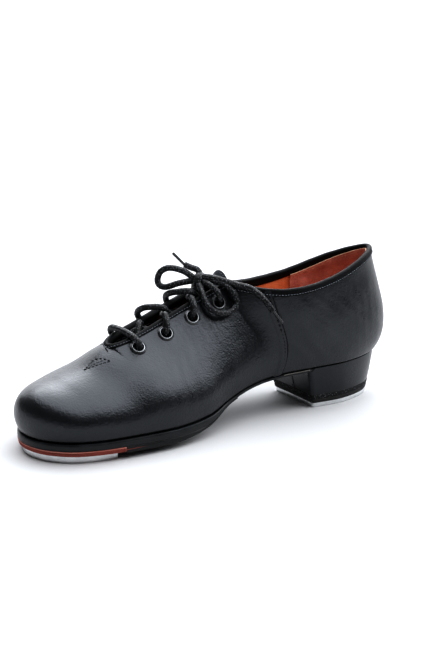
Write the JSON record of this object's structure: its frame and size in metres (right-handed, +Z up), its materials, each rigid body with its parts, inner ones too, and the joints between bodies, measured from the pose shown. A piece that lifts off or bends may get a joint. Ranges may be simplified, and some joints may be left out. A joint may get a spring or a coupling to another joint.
{
  "type": "tap shoe",
  "caption": "Low laced leather tap shoe for the right foot, with a leather-covered heel and screwed metal taps under the toe and heel that click on a floor.",
  "frame": {"origin": "on the ground at the centre of the shoe's footprint box, the lace left out", "axes": "-Y towards the toe, +X towards the inner side of the right foot, +Z up; the taps stand on z = 0"},
  "size_m": [0.0898, 0.2705, 0.1075],
  "materials": {
    "black_leather": "satin",
    "orange_lining": "soft matt",
    "brown_suede": "suede",
    "stiffener": "matt",
    "stay_tape": "matt",
    "binding": "matt",
    "eyelet_metal": "gloss black with a bright worn crest",
    "lace": "waxed weave",
    "lace_tip": "gloss",
    "fibre_board": "matt",
    "sock_leather": "matt",
    "shank_steel": "brushed",
    "filler": "cork",
    "sole_leather": "matt",
    "sole_rubber": "matt",
    "red_fibre": "pressed fibre",
    "tap_metal": "satin, scuffed",
    "screw_steel": "plated",
    "heel_stack": "matt",
    "heel_leather": "satin",
    "lift_rubber": "speckled",
    "dark_fibre": "pressed fibre"
  },
  "bodies": {
    "shoe": {"vamp": "black_leather", "quarter_medial": "black_leather", "quarter_lateral": "black_leather", "vamp_lining": "orange_lining", "quarter_lining_medial": "orange_lining", "quarter_lining_lateral": "orange_lining", "heel_grip": "brown_suede", "toe_puff": "stiffener", "heel_counter": "stiffener", "eyelet_stay_medial": "stay_tape", "eyelet_stay_lateral": "stay_tape", "edge_binding": "binding", "eyelets_medial": "eyelet_metal", "eyelets_lateral": "eyelet_metal", "lace_threaded": "lace", "lace_knot": "lace", "lace_bow": "lace", "lace_tips": "lace_tip", "insole_board": "fibre_board", "sock_lining": "sock_leather", "shank": "shank_steel", "bottom_filler": "filler", "outsole": "sole_leather", "half_sole": "sole_rubber", "toe_sound_board": "red_fibre", "heel_block": "heel_stack", "heel_cover": "heel_leather", "heel_lift": "lift_rubber", "heel_sound_board": "dark_fibre", "heel_nails": "shank_steel"},
    "tongue": {"tongue": "black_leather", "tongue_lining": "orange_lining"},
    "toe_tap": {"toe_tap": "tap_metal"},
    "toe_screw_1": {"toe_screw_1": "screw_steel"},
    "toe_screw_2": {"toe_screw_2": "screw_steel"},
    "toe_screw_3": {"toe_screw_3": "screw_steel"},
    "heel_tap": {"heel_tap": "tap_metal"},
    "heel_screw_1": {"heel_screw_1": "screw_steel"},
    "heel_screw_2": {"heel_screw_2": "screw_steel"},
    "heel_screw_3": {"heel_screw_3": "screw_steel"}
  },
  "joints": [
    {"name": "tongue_hinge", "type": "hinge", "parent": "shoe", "child": "tongue", "pos_m": [0.005, -0.082, 0.0505], "axis": [-1, 0, 0], "range_deg": [0, 15], "stiffness_Nm_per_rad": 0.02, "springref_deg": -22.92},
    {"name": "toe_tap_play", "type": "slide", "parent": "shoe", "child": "toe_tap", "axis": [0, 0, -1], "range_m": [0, 0.001]},
    {"name": "toe_screw_1_turn", "type": "hinge", "parent": "toe_tap", "child": "toe_screw_1", "pos_m": [-0.013, -0.11, 0.001], "axis": [0, 0, -1], "range_deg": [0, 361]},
    {"name": "toe_screw_2_turn", "type": "hinge", "parent": "toe_tap", "child": "toe_screw_2", "pos_m": [0.024, -0.11, 0.001], "axis": [0, 0, -1], "range_deg": [0, 361]},
    {"name": "toe_screw_3_turn", "type": "hinge", "parent": "toe_tap", "child": "toe_screw_3", "pos_m": [0.0055, -0.094, 0.001], "axis": [0, 0, -1], "range_deg": [0, 361]},
    {"name": "heel_tap_play", "type": "slide", "parent": "shoe", "child": "heel_tap", "axis": [0, 0, -1], "range_m": [0, 0.001]},
    {"name": "heel_screw_1_turn", "type": "hinge", "parent": "heel_tap", "child": "heel_screw_1", "pos_m": [0.005, 0.078, 0.001], "axis": [0, 0, -1], "range_deg": [0, 361]},
    {"name": "heel_screw_2_turn", "type": "hinge", "parent": "heel_tap", "child": "heel_screw_2", "pos_m": [-0.008, 0.104, 0.001], "axis": [0, 0, -1], "range_deg": [0, 361]},
    {"name": "heel_screw_3_turn", "type": "hinge", "parent": "heel_tap", "child": "heel_screw_3", "pos_m": [0.018, 0.104, 0.001], "axis": [0, 0, -1], "range_deg": [0, 361]}
  ],
  "couplings": [
    {"joint": "toe_screw_1_turn", "follows": "toe_tap_play", "rad_per_m": 6283.2},
    {"joint": "toe_screw_2_turn", "follows": "toe_tap_play", "rad_per_m": 6283.2},
    {"joint": "toe_screw_3_turn", "follows": "toe_tap_play", "rad_per_m": 6283.2},
    {"joint": "heel_screw_1_turn", "follows": "heel_tap_play", "rad_per_m": 6283.2},
    {"joint": "heel_screw_2_turn", "follows": "heel_tap_play", "rad_per_m": 6283.2},
    {"joint": "heel_screw_3_turn", "follows": "heel_tap_play", "rad_per_m": 6283.2}
  ]
}
